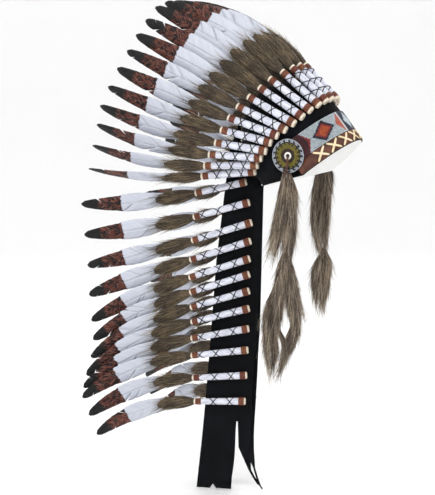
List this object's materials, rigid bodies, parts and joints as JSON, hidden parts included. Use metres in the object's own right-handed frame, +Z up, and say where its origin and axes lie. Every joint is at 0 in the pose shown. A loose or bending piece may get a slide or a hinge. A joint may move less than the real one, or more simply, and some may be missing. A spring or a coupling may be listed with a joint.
{
  "type": "feathered headdress",
  "caption": "Feathered headdress with a felt cap, beaded brow band, rosettes, fur drops and two long cloth trailers edged with wrapped feathers.",
  "frame": {"origin": "the middle of the head between the two rosettes, where the headdress is held", "axes": "+Z up, +X to the wearer's front, +Y to the wearer's left"},
  "size_m": [0.5413, 0.3196, 0.9762],
  "materials": {
    "felt": "matt felt",
    "beads": "small glossy beads in rows",
    "hide": "brushed hide",
    "lace": "soft lace",
    "rosette": "small glossy beads in rings",
    "fur": "long loose fur",
    "feather": "wrapped quill, fur tuft and smooth vane"
  },
  "bodies": {
    "root": {"cap": "felt", "brow_band": "beads", "trim_strip": "hide", "lacing": "lace", "rosette_right": "rosette", "fur_drop_right": "fur", "trailer_right": "felt", "feather_right_1": "feather", "feather_right_2": "feather", "feather_right_3": "feather", "feather_right_4": "feather", "feather_right_5": "feather", "feather_right_6": "feather", "feather_right_7": "feather", "feather_right_8": "feather", "feather_right_9": "feather", "feather_right_10": "feather", "feather_right_11": "feather", "feather_right_12": "feather", "feather_right_13": "feather", "feather_right_14": "feather", "feather_right_15": "feather", "feather_right_16": "feather", "feather_right_17": "feather", "feather_right_18": "feather", "feather_right_19": "feather", "feather_right_20": "feather", "feather_right_21": "feather", "feather_right_22": "feather", "feather_right_23": "feather", "feather_right_24": "feather", "feather_right_25": "feather", "rosette_left": "rosette", "fur_drop_left": "fur", "trailer_left": "felt", "feather_left_1": "feather", "feather_left_2": "feather", "feather_left_3": "feather", "feather_left_4": "feather", "feather_left_5": "feather", "feather_left_6": "feather", "feather_left_7": "feather", "feather_left_8": "feather", "feather_left_9": "feather", "feather_left_10": "feather", "feather_left_11": "feather", "feather_left_12": "feather", "feather_left_13": "feather", "feather_left_14": "feather", "feather_left_15": "feather", "feather_left_16": "feather", "feather_left_17": "feather", "feather_left_18": "feather", "feather_left_19": "feather", "feather_left_20": "feather", "feather_left_21": "feather", "feather_left_22": "feather", "feather_left_23": "feather", "feather_left_24": "feather", "feather_left_25": "feather"}
  },
  "joints": []
}
